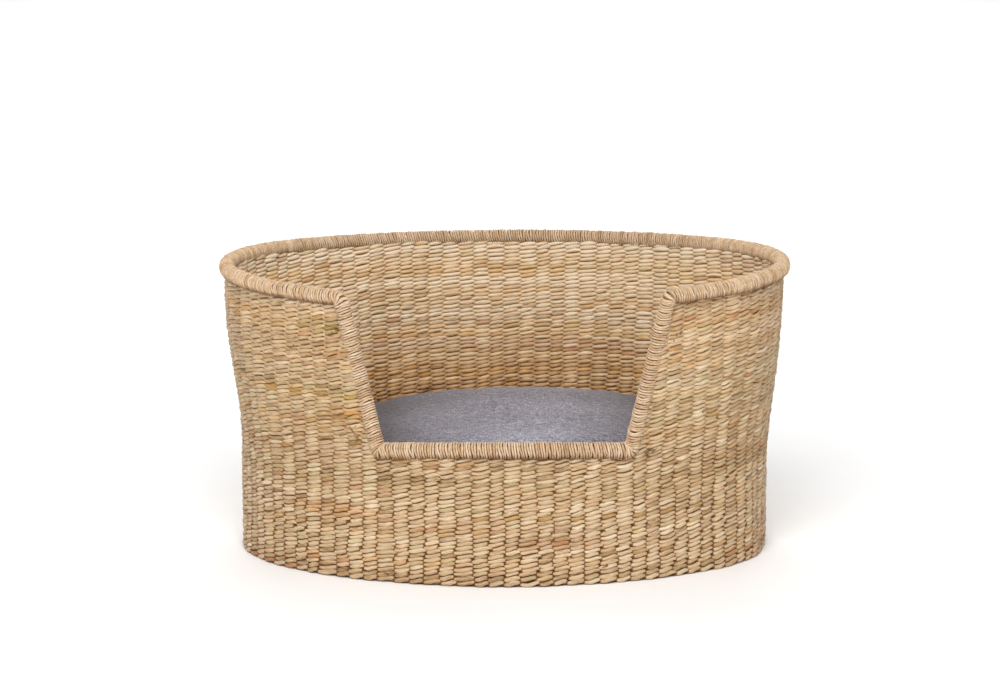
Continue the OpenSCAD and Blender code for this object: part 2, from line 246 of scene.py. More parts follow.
def add_studio():
    world = bpy.data.worlds.new("studio")
    world.use_nodes = True
    background = world.node_tree.nodes["Background"]
    background.inputs["Color"].default_value = (1, 1, 1, 1)
    background.inputs["Strength"].default_value = 0.56
    bpy.context.scene.world = world
    bpy.context.scene.view_settings.view_transform = "Standard"
    add_area("key", (-0.2, -2.1, 2.2), (0, 0, 0.12), 1.5, 57)
    add_area("backdrop", (0, 4.2, 3.2), (0, 4.4, 0), 4.0, 130)
    floor = bpy.data.meshes.new("floor")
    corners = [(-STAGE_SIDE, -STAGE_SIDE, 0), (STAGE_SIDE, -STAGE_SIDE, 0),
               (STAGE_SIDE, STAGE_BACK, 0), (-STAGE_SIDE, STAGE_BACK, 0)]
    floor.from_pydata(corners, [], [(0, 1, 2, 3)])
    floor.materials.append(pale_floor())
    stand = bpy.data.objects.new("floor", floor)
    bpy.context.scene.collection.objects.link(stand)


# ---------------------------------------------------------------- materials

class Shader:
    """A small builder of node trees for one material."""

    def __init__(self, name):
        self.material = bpy.data.materials.new(name)
        self.material.use_nodes = True
        self.tree = self.material.node_tree
        self.surface = self.tree.nodes["Principled BSDF"]

    def node(self, kind, inputs=None, **settings):
        node = self.tree.nodes.new(kind)
        for key, value in settings.items():
            setattr(node, key, value)
        for key, value in (inputs or {}).items():
            self.put(value, node.inputs[key])
        return node

    def put(self, value, socket):
        if isinstance(value, bpy.types.NodeSocket):
            self.tree.links.new(value, socket)
        else:
            socket.default_value = value

    def attribute(self, name, output="Fac"):
        return self.node("ShaderNodeAttribute", attribute_name=name).outputs[output]

    def math(self, operation, a, b=0.0, clamp=False):
        return self.node("ShaderNodeMath", {0: a, 1: b}, operation=operation, use_clamp=clamp).outputs[0]

    def noise(self, vector, scale, detail=2.0, roughness=0.5):
        return self.node("ShaderNodeTexNoise", {"Vector": vector, "Scale": scale, "Detail": detail,
                                                "Roughness": roughness}).outputs["Fac"]

    def stretched(self, vector, scale):
        return self.node("ShaderNodeVectorMath", {0: vector, 1: scale}, operation="MULTIPLY").outputs[0]

    def ramp(self, factor, stops):
        node = self.node("ShaderNodeValToRGB", {0: factor})
        elements = node.color_ramp.elements
        while len(elements) < len(stops):
            elements.new(0.5)
        for element, (place, colour) in zip(elements, stops):
            element.position = place
            element.color = rgb(colour)
        return node.outputs[0]

    def mix(self, factor, a, b, blend="MIX"):
        node = self.node("ShaderNodeMix", data_type="RGBA", blend_type=blend)
        self.put(factor, node.inputs[0])
        self.put(a, node.inputs[6])
        self.put(b, node.inputs[7])
        return node.outputs[2]

    def bump(self, height, strength, distance):
        node = self.node("ShaderNodeBump", {"Strength": strength, "Distance": distance, "Height": height})
        self.put(node.outputs[0], self.surface.inputs["Normal"])

    def set(self, **values):
        for key, value in values.items():
            self.put(value, self.surface.inputs[key.replace("_", " ")])
        return self.material


def rgb(colour):
    """An sRGB colour in 0 to 255, as the linear colour that Blender takes."""
    c = np.array(colour) / 255
    linear = np.where(c < 0.04045, c / 12.92, ((c + 0.055) / 1.055) ** 2.4)
    return (*linear, 1)


def pale_floor():
    shader = Shader("pale_floor")
    coordinate = shader.node("ShaderNodeTexCoord").outputs["Object"]
    shade = shader.ramp(shader.noise(coordinate, 3.0), [(0.3, (250, 250, 250)), (0.7, (255, 255, 255))])
    return shader.set(Base_Color=shade, Roughness=0.9)


def seagrass(name, stops, green, gold):
    """Dried grass whose grain runs along each strand; the mesh says each strand's tone, with the wall's
    painted shade and highlight mixed in.
    """
    shader = Shader(name)
    grain = shader.attribute("grain", "Vector")
    fine = shader.noise(shader.stretched(grain, (110, 2.1, 2.1)), 1.0, 4.0, 0.7)
    broad = shader.noise(shader.stretched(grain, (24, 1.1, 1.1)), 1.0, 2.0)
    tone = shader.attribute("tone")
    spread = shader.math("MULTIPLY", shader.math("SUBTRACT", fine, 0.5), 1.36)
    drift = shader.math("MULTIPLY", shader.math("SUBTRACT", broad, 0.5), 0.5)
    tone = shader.math("ADD", shader.math("ADD", tone, spread), drift, clamp=True)
    colour = shader.ramp(tone, stops)
    colour = shader.mix(shader.attribute("green"), colour, rgb(green), "MULTIPLY")
    colour = shader.mix(shader.attribute("gold"), colour, rgb(gold), "MULTIPLY")
    rust = shader.math("MULTIPLY", shader.attribute("rust"), shader.math("ADD", broad, 0.35), clamp=True)
    colour = shader.mix(rust, colour, rgb((168, 96, 52)))
    shader.bump(fine, 0.9, 0.0006)
    return shader.set(Base_Color=colour, Roughness=0.5, Specular_IOR_Level=0.3)


def cord_fibre(name, stops):
    """Spun cord: fine fibres that run along it, light and dark."""
    shader = Shader(name)
    grain = shader.attribute("grain", "Vector")
    fibre = shader.noise(shader.stretched(grain, (160, 2.4, 2.4)), 1.0, 3.0, 0.65)
    patch = shader.noise(shader.stretched(grain, (330, 1.6, 1.6)), 1.0, 2.0)
    fuzz = shader.math("MULTIPLY", shader.math("SUBTRACT", fibre, 0.5), 0.75)
    drift = shader.math("MULTIPLY", shader.math("SUBTRACT", patch, 0.5), 1.1)
    tone = shader.math("ADD", shader.math("ADD", shader.attribute("tone"), drift), fuzz, clamp=True)
    colour = shader.ramp(tone, stops)
    colour = shader.mix(shader.attribute("gold"), colour, rgb((240, 204, 150)), "MULTIPLY")
    shader.bump(fibre, 0.6, 0.0004)
    return shader.set(Base_Color=colour, Roughness=0.72, Specular_IOR_Level=0.25)


def linen(name, dark, light, thread=1.0, end_shade_strength=0.0):
    """Melange cloth: two crossing sets of slubbed threads, with as much painted shade toward its two ends
    as asked.
    """
    shader = Shader(name)
    place = shader.node("ShaderNodeTexCoord").outputs["Object"]
    weft = shader.noise(shader.stretched(place, (150 * thread, 340 * thread, 340 * thread)), 1.0, 3.0, 0.7)
    warp = shader.noise(shader.stretched(place, (760 * thread, 130 * thread, 130 * thread)), 1.0, 3.0, 0.7)
    cloud = shader.noise(place, 9.0, 2.0)
    threads = shader.math("MULTIPLY", shader.math("ADD", weft, warp), 0.5)
    tone = shader.math("ADD", threads, shader.math("MULTIPLY", shader.math("SUBTRACT", cloud, 0.5), 0.16))
    middle = tuple((a + b) / 2 for a, b in zip(dark, light))
    colour = shader.ramp(tone, [(0.37, dark), (0.50, middle), (0.63, light)])
    across = shader.node("ShaderNodeSeparateXYZ", {0: place}).outputs[0]
    # Painted shade: the cloth darkens toward both ends of the bed, away from its middle.
    away = shader.math("MULTIPLY", shader.math("ABSOLUTE", shader.math("SUBTRACT", across, 0.02)), 6.8)
    end_shade = shader.math("MULTIPLY", shader.math("POWER", away, 2.0, clamp=True), end_shade_strength)
    colour = shader.mix(end_shade, colour, rgb((136, 133, 134)), "MULTIPLY")
    shader.bump(threads, 0.55, 0.0006)
    return shader.set(Base_Color=colour, Roughness=0.95, Specular_IOR_Level=0.15, Sheen_Weight=0.25,
                      Sheen_Roughness=0.5)


def worn_metal(name, dark, light, roughness):
    shader = Shader(name)
    place = shader.node("ShaderNodeTexCoord").outputs["Object"]
    scratch = shader.noise(shader.stretched(place, (300, 2600, 2600)), 1.0, 3.0, 0.7)
    colour = shader.ramp(scratch, [(0.3, dark), (0.7, light)])
    shader.bump(scratch, 0.2, 0.0001)
    return shader.set(Base_Color=colour, Roughness=roughness, Metallic=0.9)


def moulded_plastic(name, dark, light):
    shader = Shader(name)
    place = shader.node("ShaderNodeTexCoord").outputs["Object"]
    grain = shader.noise(place, 900.0, 2.0)
    shader.bump(grain, 0.25, 0.0001)
    return shader.set(Base_Color=shader.ramp(grain, [(0.35, dark), (0.65, light)]), Roughness=0.45)


def cane(name):
    shader = Shader(name)
    place = shader.node("ShaderNodeTexCoord").outputs["Object"]
    fine = shader.noise(shader.stretched(place, (700, 700, 40)), 1.0, 3.0, 0.6)
    colour = shader.ramp(fine, [(0.3, (124, 92, 56)), (0.7, (186, 148, 100))])
    shader.bump(fine, 0.4, 0.0003)
    return shader.set(Base_Color=colour, Roughness=0.6)


STRAW = [(0.0, (120, 86, 52)), (0.25, (172, 138, 101)), (0.5, (203, 174, 138)), (0.75, (221, 197, 163)),
         (1.0, (240, 225, 202))]
CORD_TONES = [(0.0, (96, 64, 40)), (0.35, (166, 130, 95)), (0.65, (206, 176, 142)), (1.0, (236, 216, 190))]


# ---------------------------------------------------------------- tubes

class Tubes:
    """Collects swept tubes of one number of sides, and makes one mesh of them."""

    def __init__(self, sides):
        turn = np.arange(sides) * 2 * math.pi / sides
        self.cos, self.sin = np.cos(turn), np.sin(turn)
        self.sides = sides
        self.points, self.faces, self.looks = [], [], []
        self.count = 0

    def add(self, line, out, up, wide, high, closed=False, **looks):
        """Sweeps an ellipse along a line; out and up are its axes, wide and high its half sizes."""
        rings, sides = len(line), self.sides
        wide = np.broadcast_to(wide, rings)[:, None, None]
        high = np.broadcast_to(high, rings)[:, None, None]
        across = self.cos[None, :, None] * wide * out[:, None, :]
        above = self.sin[None, :, None] * high * up[:, None, :]
        self.points.append((line[:, None, :] + across + above).reshape(-1, 3))
        index = self.count + np.arange(rings * sides).reshape(rings, sides)
        if closed:
            index = np.vstack([index, index[:1]])
        side = np.roll(index, -1, axis=1)
        quads = np.stack([index[:-1], index[1:], side[1:], side[:-1]], axis=-1)
        self.faces.append(quads.reshape(-1, 4))
        if not closed:
            self.faces += [self.cap(index[0]), self.cap(index[-1][::-1])]
        step = np.linalg.norm(np.diff(line, axis=0), axis=1)
        along = np.concatenate([[0], np.cumsum(step)])
        values = {key: np.repeat(np.broadcast_to(v, rings), sides) for key, v in looks.items()}
        shift = values.pop("seed", np.zeros(rings * sides))
        values["grain"] = np.stack([np.repeat(along, sides) + shift, np.tile(self.cos, rings) + shift,
                                    np.tile(self.sin, rings)], axis=1)
        self.looks.append(values)
        self.count += rings * sides

    def cap(self, ring):
        """Closes one end with a strip of quads."""
        half = self.sides // 2
        left, right = ring[:half], ring[half:][::-1]
        return np.stack([left[:-1], left[1:], right[1:], right[:-1]], axis=1)

    def build(self, name, body, material, slot):
        piece = make_mesh(name, settle(np.concatenate(self.points)), np.concatenate(self.faces))
        for key in self.looks[0]:
            values = np.concatenate([look[key] for look in self.looks]).astype(np.float32)
            kind, field = ("FLOAT", "value") if values.ndim == 1 else ("FLOAT_VECTOR", "vector")
            piece.data.attributes.new(key, kind, "POINT").data.foreach_set(field, values.ravel())
        return dress_piece(piece, body, material)


def make_mesh(name, points, quads):
    mesh = bpy.data.meshes.new(name)
    mesh.vertices.add(len(points))
    mesh.vertices.foreach_set("co", points.astype(np.float32).ravel())
    mesh.loops.add(4 * len(quads))
    mesh.loops.foreach_set("vertex_index", quads.astype(np.int32).ravel())
    mesh.polygons.add(len(quads))
    mesh.polygons.foreach_set("loop_start", np.arange(0, 4 * len(quads), 4, dtype=np.int32))
    mesh.polygons.foreach_set("use_smooth", np.ones(len(quads), dtype=bool))
    mesh.update(calc_edges=True)
    piece = bpy.data.objects.new(name, mesh)
    bpy.context.scene.collection.objects.link(piece)
    return piece


def dress_piece(piece, body, material):
    piece.data.materials.append(material)
    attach(piece, body)
    return piece


# ---------------------------------------------------------------- twined wall

def strand_tones(rng, stakes):
    """Tone, green, gold and rust of one strand at each stake; a strand is spliced every few stakes."""
    tone, green, gold, rust = (np.zeros(stakes) for _ in range(4))
    at = 0
    while at < stakes:
        run = rng.integers(5, 20)
        part = slice(at, at + run)
        tone[part] = rng.normal(0.52, 0.08) + np.linspace(0, rng.normal(0, 0.08), run)[:stakes - at]
        green[part] = max(0, rng.normal(0.0, 0.40))
        gold[part] = max(0, rng.normal(-0.1, 0.35))
        if rng.random() < 0.06:
            short = slice(at, at + rng.integers(1, 6))
            rust[short] = rng.uniform(0.2, 0.75)
        at += run
    tone += rng.normal(0, 0.04, stakes)
    green *= 0.4 + 0.8 * rng.random(stakes)
    gold *= 0.3 + 0.7 * rng.random(stakes)
    return tone, np.minimum(green, 0.7), np.minimum(gold, 0.6), rust


def between(values, stake):
    """Values given at each stake's middle, read at stake numbers between them."""
    places = np.arange(len(values)) + 0.5
    return np.interp(np.mod(stake, len(values)), places, values, period=len(values))


def patches(stake, level):
    """How much greener, more golden and more rusty the outer face is in the patches that stand out."""
    total = np.zeros((3, len(stake)))
    for away, height, width, tall, *tints in PATCHES:
        near = np.exp(-((stake - FRONT_MIDDLE - away) / width) ** 2 - ((level - height) / tall) ** 2)
        total += np.outer(tints, near)
    return total


def twine(tubes, rng, level, start, end, batch, size=1.0, steps=10):
    """One course: two strands that cross between the stakes, with a thin packing strand between."""
    closed = end - start >= STAKES - 1e-6
    count = int(round((end - start) * steps)) + (0 if closed else 1)
    stake = np.linspace(start, end, count, endpoint=not closed)
    wander = 0.10 * np.sin(stake * 2.1 + 11 * level) * np.sin(stake * 0.7 + 23 * level)
    wander = wander + between(rng.normal(0, 0.09, STAKES), stake)
    for strand in (0, 1):
        phase = math.pi * (stake - 0.5 + strand + wander)
        side, slide = np.cos(phase), np.sin(phase)
        press = np.abs(side)
        stitch = np.floor(np.mod(stake, STAKES)).astype(int)
        fat = 1 + rng.normal(0, 0.10, STAKES)[stitch] * press
        lift = rng.normal(0, 0.00045, STAKES)[stitch] * press
        bulge = (rng.normal(0, 0.00030, STAKES) + 0.00020 * ribs)[stitch] * press
        high = (HIGH + HIGH_ADDED * press) * size * fat
        wide = (WIDE + WIDE_ADDED * press ** 0.8) * size
        wave = 0.0009 * np.sin(stake * 0.42 + 17 * level) + 0.0006 * np.sin(stake * 1.13 + 31 * level)
        z = level + wave * min(1, level / 0.08) + lift
        z = z + SLANT * size * slide * (0.8 + 0.3 * side)
        across = STITCH_REACH * np.sign(side) * press ** 0.8
        dent = 0.0007 * np.sin(stake * 0.6 + 23 * level) + 0.0005 * np.sin(stake * 1.7 + 41 * level)
        place, away = oval(stake, MIDDLE + lean(z) + across + dent + bulge)
        line = np.column_stack([place, z])
        tone, green, gold, rust = (between(v, stake) for v in strand_tones(rng, STAKES))
        # Painted shade and light on the inner face: lighter toward the top, darker toward the foot and
        # darkest at the crossings low down; it also turns less green and more golden toward the foot.
        inside = side < 0
        low = max(0, 1 - level / 0.2)
        painted_inner_shade = inside * (0.70 * (level / rim_height - 0.40) + low * (0.8 * press - 1.05))
        brown = inside * max(0, 1 - abs(level - 0.184) / 0.012) * 0.6 * rng.random(STAKES)[stitch]
        patch = patches(stake, level) * (1 - inside) * (0.4 + 0.9 * rng.random(STAKES)[stitch])
        # The tone also adds a little painted highlight on the stake columns that bulge out, and painted
        # shade on those that sink in.
        tubes.add(line, level_rows(away), upright(count), wide, high, closed,
                  tone=tone + batch[0] + painted_inner_shade + 0.03 * ribs[stitch],
                  green=np.clip(green + batch[1] - (low + 0.2) * inside + patch[0], 0, 1),
                  gold=np.clip(gold + batch[2] + (0.8 * low + 0.15) * inside + patch[1], 0, 1),
                  rust=np.clip(rust + brown + patch[2], 0, 1), seed=rng.uniform(0, 9))
    pack = np.linspace(start, end, int(end - start) * 2, endpoint=not closed)
    place, away = oval(pack, np.full(len(pack), MIDDLE + lean(level)))
    line = np.column_stack([place, np.full(len(pack), level)])
    tubes.add(line, level_rows(away), upright(len(pack)), PACK_WIDE, PACK_HIGH, closed, tone=0.45,
              green=0.0, gold=0.5, rust=0.0)


def build_wall(material):
    """The wall in bands of a few courses each; above the sill a course stops inside the posts."""
    rng = np.random.default_rng(4)
    bands = np.array_split(np.arange(COURSES), BANDS)
    drift = rng.normal(0, 1, (COURSES + 4, 3))
    pieces = []
    for number, band in enumerate(bands):
        tubes = Tubes(8)
        for course in band:
            level = wall_low + (course + 0.5) * course_pitch
            near = drift[course:course + 4].mean(axis=0)
            batch = (0.05 * near[0], 0.22 * near[1], 0.22 * near[2])
            start, end = 0.0, float(STAKES)
            if level > SILL_HEIGHT - SILL_RADIUS + 0.002:
                gap = stake_at(post_x(max(level, SILL_HEIGHT)) + 0.004, lean(level))
                start = FRONT_MIDDLE + gap - STAKES
                end = FRONT_MIDDLE - gap
            twine(tubes, rng, level, start, end, batch)
        piece = tubes.build(f"wall_band_{number + 1:02d}", "basket", material, "seagrass_outer")
        pieces.append(piece)
    walls = [f"{side}_weave_{face}" for side in ("front", "left", "right", "back")
             for face in ("outer", "inner")]
    for piece in pieces:
        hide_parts(*walls)


def build_foot(material):
    """The two lowest courses, a little thicker than the rest, that the bed stands on."""
    rng = np.random.default_rng(9)
    tubes = Tubes(8)
    for level in FOOT_LEVELS:
        twine(tubes, rng, level, 0.0, float(STAKES), (-0.08, 0, 0), size=FOOT_SIZE)
    piece = tubes.build("foot_rope", "basket", material, "seagrass_outer")
    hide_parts("foot_course")


# ---------------------------------------------------------------- floor

def floor_reach(y, edge):
    """Half the floor's width at a distance from its middle line."""
    side = np.sqrt(np.maximum((side_radius + edge) ** 2 - (np.abs(y) + 4 * unit) ** 2, 0))
    end = np.sqrt(np.maximum((end_radius + edge) ** 2 - y ** 2, 0)) + 3 * unit
    return np.where(np.abs(y) > 0.8 * (end_radius + edge), np.minimum(side, end), end)


def build_floor(name, node, material, seed):
    """Rows of strands that pass over and under the rods that run from front to back."""
    rng = np.random.default_rng(seed)
    low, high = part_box(node)
    middle = (low[2] + high[2]) / 2
    cross_low, cross_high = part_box("floor_cross_rods")
    spacing = (cross_high[0] - cross_low[0] - ROD_WIDTH) / ROD_GAPS
    edge = -FLOOR_INSET - 0.0015
    rows = int((2 * half_depth + 2 * edge) / FLOOR_PITCH)
    tubes = Tubes(6)
    for row in range(rows):
        y = (row + 0.5 - rows / 2) * FLOOR_PITCH
        reach = float(floor_reach(np.array(y), edge)) - 0.001
        x = np.linspace(-reach, reach, max(4, int(reach / 0.0028)))
        phase = math.pi * (x / spacing + row)
        z = middle + 0.00035 * np.sin(phase)
        line = np.column_stack([x, np.full_like(x, y + plan_y), z])
        tone, green, gold, rust = (np.interp(x, np.linspace(-0.3, 0.3, 40), v)
                                   for v in strand_tones(rng, 40))
        out = np.tile([0.0, -1.0, 0.0], (len(x), 1))
        tubes.add(line, out, upright(len(x)), FLOOR_WIDE, FLOOR_HIGH, tone=tone, green=green, gold=gold,
                  rust=rust, seed=rng.uniform(0, 9))
    piece = tubes.build(name, "basket", material, "seagrass_inner")
    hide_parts(node)


# ---------------------------------------------------------------- rim

def rim_line():
    """The rim's middle line as one loop: round the back, down a post, along the sill and back up."""
    corner = float(stake_at(ENTRY_TOP, RIM_OFFSET))
    foot = float(stake_at(ENTRY_BOTTOM, SILL_OFFSET))
    top = np.arange(BACK_MIDDLE, FRONT_MIDDLE - corner, 0.05)
    sill = np.arange(FRONT_MIDDLE - foot, FRONT_MIDDLE + foot, 0.05)
    rest = np.arange(FRONT_MIDDLE + corner, BACK_MIDDLE + STAKES, 0.05)
    parts, sides, radii = [], [], []
    for stakes, out, z, radius in ((top, RIM_OFFSET, rim_height, RIM_RADIUS),
                                   (sill, SILL_OFFSET, SILL_HEIGHT, SILL_RADIUS),
                                   (rest, RIM_OFFSET, rim_height, RIM_RADIUS)):
        place, away = oval(stakes, np.full(len(stakes), out))
        droop = 0.0025 - 0.0060 * (place[:, 0] / ENTRY_BOTTOM) ** 2 if z == SILL_HEIGHT else 0
        parts.append(np.column_stack([place, np.full(len(stakes), z) + droop]))
        sides.append(level_rows(away))
        radii.append(np.full(len(stakes), radius))
    share = np.linspace(0, 1, 160)[1:-1, None]
    for after, before in ((1, 0), (3, 2)):
        parts.insert(after, parts[before][-1] * (1 - share) + parts[after][0] * share)
        sides.insert(after, sides[before][-1] * (1 - share) + sides[after][0] * share)
        radii.insert(after, np.full(len(share), POST_RADIUS))
    return np.concatenate(parts), np.concatenate(sides), np.concatenate(radii)


def smooth(values, width):
    """A moving average round a loop, run twice, which rounds off its corners."""
    kernel = np.ones(width) / width
    for _ in range(2):
        padded = np.concatenate([values[-width:], values, values[:width]])
        if values.ndim == 1:
            values = np.convolve(padded, kernel, "same")[width:-width]
        else:
            values = np.column_stack([np.convolve(c, kernel, "same") for c in padded.T])[width:-width]
    return values


def resample(line, *others, step):
    """The same loop at even steps, with the other values read at the same places."""
    ahead = np.roll(line, -1, axis=0)
    length = np.linalg.norm(ahead - line, axis=1)
    along = np.concatenate([[0], np.cumsum(length)])
    total = along[-1]
    places = np.linspace(0, total, int(total / step), endpoint=False)

    def read(values):
        columns = np.vstack([values, values[:1]]) if values.ndim > 1 else np.append(values, values[0])
        if values.ndim == 1:
            return np.interp(places, along, columns)
        return np.column_stack([np.interp(places, along, c) for c in columns.T])

    return [places, total, read(line)] + [read(v) for v in others]


def unit_rows(vectors):
    return vectors / np.linalg.norm(vectors, axis=1, keepdims=True)


class RimPath:
    """The loop that the binding, the bundle and the steel rod all follow."""

    def __init__(self):
        line, away, radius = rim_line()
        _, _, line, away, radius = resample(line, away, radius, step=0.001)
        line, away, radius = smooth(line, 9), smooth(away, 9), smooth(radius, 9)
        self.along, self.total, self.line, away, self.radius = resample(line, away, radius, step=0.001)
        ahead = unit_rows(np.roll(self.line, -1, axis=0) - np.roll(self.line, 1, axis=0))
        flat = away - (away * ahead).sum(axis=1)[:, None] * ahead
        self.away = unit_rows(flat)
        self.ahead = ahead
        self.beside = np.cross(ahead, self.away)

    def at(self, places):
        """Line, away, beside and radius at distances along the loop."""
        places = np.mod(places, self.total)
        index = places / self.total * len(self.line)
        low = np.floor(index).astype(int) % len(self.line)
        high = (low + 1) % len(self.line)
        part = (index - np.floor(index))[:, None]
        mixed = [v[low] * (1 - part) + v[high] * part for v in (self.line, self.away, self.beside)]
        radius = self.radius[low] * (1 - part[:, 0]) + self.radius[high] * part[:, 0]
        return (*mixed, radius)


def wrap(path, rng, start, end):
    """A cord wound round the rim between two distances, as one helix."""
    steps = 18
    total_turns = round(path.total / WRAP_PITCH)
    pitch = path.total / total_turns
    places = np.arange(start, end, pitch / steps)
    turn = 2 * math.pi * places / pitch
    share = places / pitch

    def each(mean, spread):
        """A value of its own for each wrap, eased from one wrap to the next."""
        values = rng.normal(mean, spread, total_turns)
        return np.interp(share, np.arange(total_turns), values, period=total_turns)

    slip = each(0, 0.0002) + each(0.0013, 0.0010) * np.sin(2 * turn) / 2
    line, away, beside, radius = path.at(places + slip)
    reach = (radius - CORD + each(0, 0.0003))[:, None]
    around = np.cos(turn)[:, None] * away + np.sin(turn)[:, None] * beside
    cord = line + reach * around
    ahead = unit_rows(np.gradient(cord, axis=0))
    # Painted shade: each wrap is darker on its underside.
    tone = each(0.66, 0.08) - 0.8 * np.clip(-around[:, 2] - 0.30, 0, 1)
    gold = np.clip(each(0, 0.15), 0, 0.5)
    padded = np.pad(cord, ((steps, steps), (0, 0)), "edge")
    gap = np.linalg.norm(padded[2 * steps:] - padded[:-2 * steps], axis=1) / (2 * pitch)
    tubes = Tubes(6)
    tubes.add(cord, around, np.cross(around, ahead), CORD * 0.92, CORD * np.clip(gap, 0.8, 1.9), False,
              tone=tone, gold=gold, seed=rng.uniform(0, 9))
    return tubes


def build_binding(path, material):
    """The binding, cut into the lengths that the CAD has."""
    rng = np.random.default_rng(21)
    x, y, z = path.line.T
    from_middle = y - plan_y
    bend = 0.8 * end_radius
    top = z > rim_height - 0.004
    low = z < SILL_HEIGHT + 0.004
    zones = {
        "binding_back": top & (from_middle > bend),
        "binding_left": top & (np.abs(from_middle) <= bend) & (x < 0),
        "binding_left_front": top & (from_middle < -bend) & (x < 0),
        "binding_left_post": ~top & ~low & (x < 0),
        "binding_sill": low,
        "binding_right_post": ~top & ~low & (x > 0),
        "binding_right_front": top & (from_middle < -bend) & (x > 0),
        "binding_right": top & (np.abs(from_middle) <= bend) & (x > 0),
    }
    for node, zone in zones.items():
        inside = path.along[zone]
        start, end = inside.min(), inside.max()
        if node == "binding_back":
            late = inside[inside > path.total / 2]
            start, end = late.min() - path.total, inside[inside < path.total / 2].max()
        tubes = wrap(path, rng, start - 0.0004, end + 0.0008)
        piece = tubes.build(node + "_wraps", "basket", material, "binding_cord")
        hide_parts(node)


def build_core(path, name, node, radius, material, slot, lumps):
    """A rod or a bundle inside the binding, along the whole loop."""
    rng = np.random.default_rng(5)
    places = np.arange(0, path.total, 0.004)
    line, away, beside, _ = path.at(places)
    size = radius * (1 - lumps * rng.random(len(places)))
    tubes = Tubes(8)
    tubes.add(line, away, -beside, size, size, True, tone=0.02 + 0.1 * rng.random(len(places)),
              green=0.0, gold=0.2, rust=0.0)
    piece = tubes.build(name, "basket", material, slot)
    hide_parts(node)


def build_loose_ends(path, material):
    """Clipped tips of strands beside the posts and at the foot, and fibres that stand off the rim."""
    rng = np.random.default_rng(14)
    tubes = Tubes(6)
    share = np.linspace(0, 1, 6)
    for x, z, tips, spread in LOOSE_ENDS:
        for _ in range(tips):
            middle, up = x + rng.normal(0, spread), z + rng.normal(0, spread / 2)
            stake = FRONT_MIDDLE + stake_at(middle, lean(up)) + share * rng.normal(0, 0.25)
            place, away = oval(stake, lean(up) + 0.0010 * np.sin(math.pi * share) + 0.0012 * share)
            rise = up + share * rng.normal(0, 0.004)
            size = 0.0009 * (1 - 0.7 * share)
            tubes.add(np.column_stack([place, rise]), level_rows(away), upright(6), size, size * 1.3,
                      tone=rng.uniform(0, 0.3), green=0.3, gold=0.4, rust=rng.uniform(0, 0.3))
    for _ in range(RIM_FIBRES):
        at = rng.uniform(0, path.total)
        line, away, beside, radius = path.at(at + share * rng.normal(0, 0.006))
        turn = rng.uniform(0, 2 * math.pi)
        around = math.cos(turn) * away + math.sin(turn) * beside
        reach = radius + 0.0022 * share ** 1.5
        ahead = unit_rows(np.diff(line, axis=0, append=line[-1:] + 1e-4))
        tubes.add(line + reach[:, None] * around, around, np.cross(around, ahead), 0.0002, 0.0002,
                  tone=0.6, green=0.0, gold=0.3, rust=0.0)
    tubes.build("loose_ends", "basket", material, "seagrass_outer")


# ---------------------------------------------------------------- cushion

def edge_section():
    """Offset and height round the cushion's edge, from its flat bottom up to its flat top."""
    lower = [(CUSHION_OFFSET - LOWER_EDGE + LOWER_EDGE * math.sin(a),
              lower_seam - LOWER_EDGE * math.cos(a)) for a in np.linspace(0, math.pi / 2, 12)]
    side = [(CUSHION_OFFSET, z) for z in np.linspace(lower_seam, upper_seam, 8)[1:-1]]
    upper = [(CUSHION_OFFSET - UPPER_EDGE + UPPER_EDGE * math.cos(a),
              upper_seam + UPPER_EDGE * math.sin(a)) for a in np.linspace(0, math.pi / 2, 8)]
    return lower + side + upper


def crown(points):
    """How far the filled top stands above the CAD's flat top, and dips at its left."""
    x, y = points[:, 0], points[:, 1] - plan_y
    r = np.sqrt((x / (half_width - 0.013)) ** 2 + (y / (half_depth - 0.013)) ** 2)
    swell = 0.0075 * np.clip(1 - r ** 2.4, 0, 1) + 0.0062 * np.exp(-((x - 0.05) / 0.15) ** 2)
    dent = 0.0085 * np.exp(-((x + 0.19) / 0.07) ** 2)
    return swell - dent


def cushion_form():
    """The boxed cushion as a closed mesh: rings round the edge and shrinking rings on its two flats."""
    round_count = 200
    stake = np.linspace(0, STAKES, round_count, endpoint=False)
    rings = []
    section = edge_section()
    shrink = np.linspace(0.04, 1, 14)[:-1]
    for share in shrink:
        place, _ = oval(stake, np.full(round_count, section[0][0]))
        place = (place - [0, plan_y]) * share + [0, plan_y]
        rings.append(np.column_stack([place, np.full(round_count, section[0][1])]))
    for out, z in section:
        place, _ = oval(stake, np.full(round_count, out))
        rings.append(np.column_stack([place, np.full(round_count, z)]))
    for share in shrink[::-1]:
        place, _ = oval(stake, np.full(round_count, section[-1][0]))
        place = (place - [0, plan_y]) * share + [0, plan_y]
        rings.append(np.column_stack([place, np.full(round_count, section[-1][1])]))
    points = np.concatenate(rings)
    index = np.arange(len(points)).reshape(len(rings), round_count)
    side = np.roll(index, -1, axis=1)
    quads = np.stack([index[:-1], side[:-1], side[1:], index[1:]], axis=-1).reshape(-1, 4)
    piece = make_mesh("cushion", points, quads)
    work = bmesh.new()
    work.from_mesh(piece.data)
    bmesh.ops.holes_fill(work, edges=[e for e in work.edges if e.is_boundary])
    bmesh.ops.recalc_face_normals(work, faces=work.faces)
    work.to_mesh(piece.data)
    work.free()
    return piece


def points_of(piece):
    points = np.empty(len(piece.data.vertices) * 3, dtype=np.float32)
    piece.data.vertices.foreach_get("co", points)
    return points.reshape(-1, 3).astype(float)


def apply_modifiers(piece):
    graph = bpy.context.evaluated_depsgraph_get()
    done = bpy.data.meshes.new_from_object(piece.evaluated_get(graph))
    piece.modifiers.clear()
    old = piece.data
    piece.data = done
    bpy.data.meshes.remove(old)


